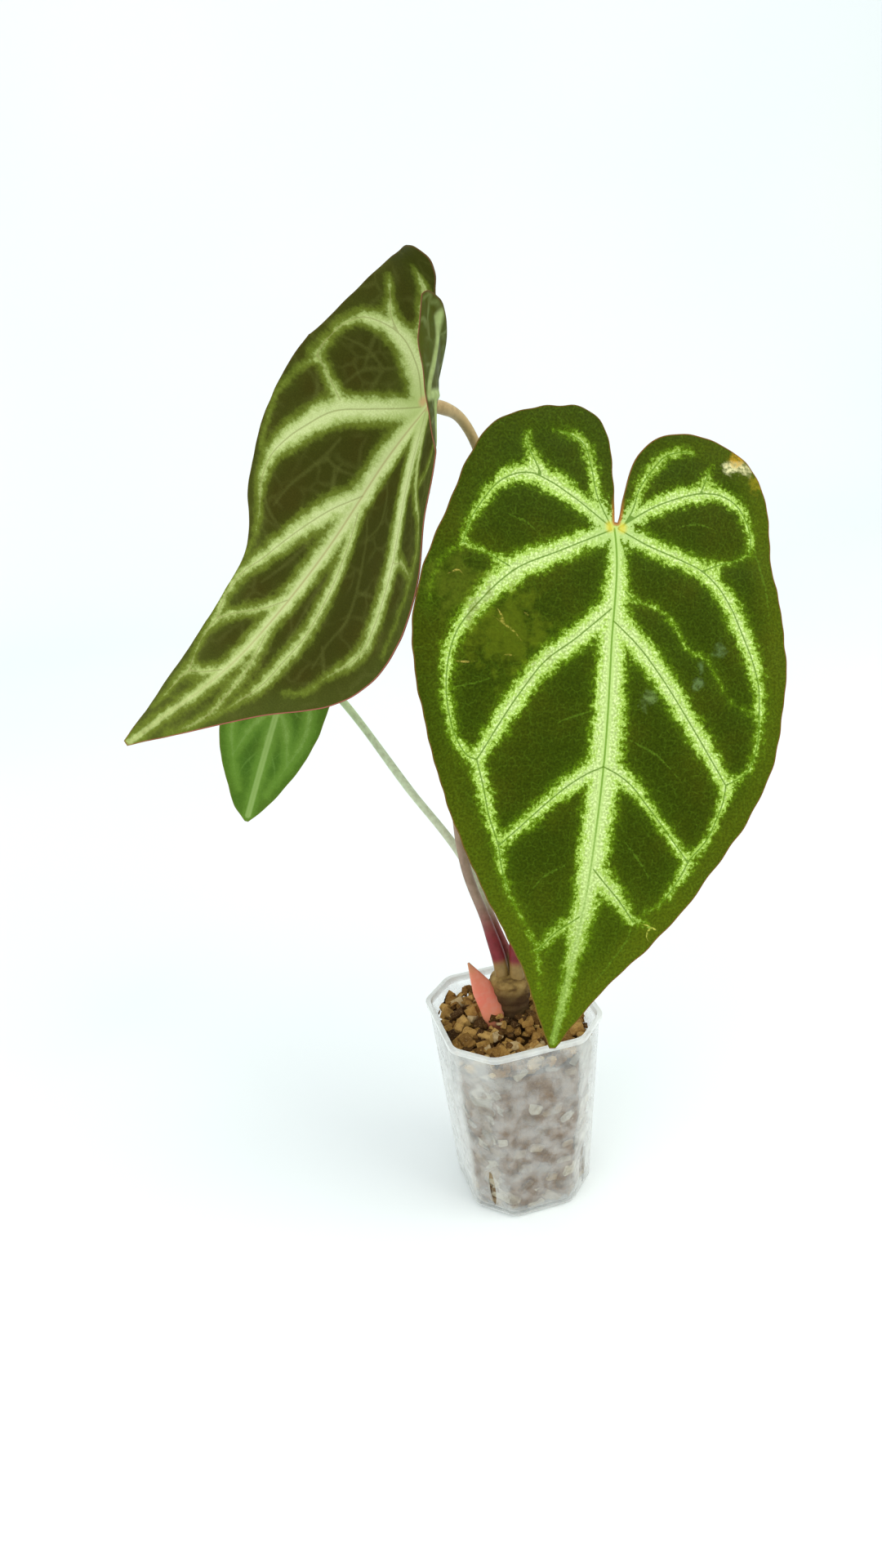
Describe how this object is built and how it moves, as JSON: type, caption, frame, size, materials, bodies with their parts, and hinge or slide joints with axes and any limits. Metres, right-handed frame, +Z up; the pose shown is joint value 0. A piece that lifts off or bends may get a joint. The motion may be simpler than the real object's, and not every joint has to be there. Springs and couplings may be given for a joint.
{
  "type": "potted foliage plant",
  "caption": "Velvet-leaved houseplant with silver-veined heart-shaped leaves on slender arching petioles, rooted in bark mix in a clear square nursery pot.",
  "frame": {"origin": "centre of the pot's flat base, on the plane it rests on", "axes": "+Z up; the pot's flats face along X and Y; the large front leaf faces -Y"},
  "size_m": [0.2244, 0.1825, 0.3456],
  "materials": {
    "clear_plastic": "clear, slightly cloudy",
    "bark_mix": "rough bark flakes",
    "crown_tan": "dull, corky",
    "blade_green": "velvety, silver along the veins",
    "blade_olive": "velvety, pale along the veins",
    "blade_light": "soft satin",
    "petiole_brown": "smooth satin",
    "petiole_green": "smooth satin",
    "cataphyll_pink": "smooth satin"
  },
  "bodies": {
    "root": {"pot": "clear_plastic", "growing_medium": "bark_mix", "crown": "crown_tan", "blade_front": "blade_green", "blade_left": "blade_olive", "blade_small": "blade_light", "petiole_front": "petiole_brown", "petiole_left": "petiole_brown", "petiole_small": "petiole_green", "cataphyll": "cataphyll_pink"}
  },
  "joints": []
}
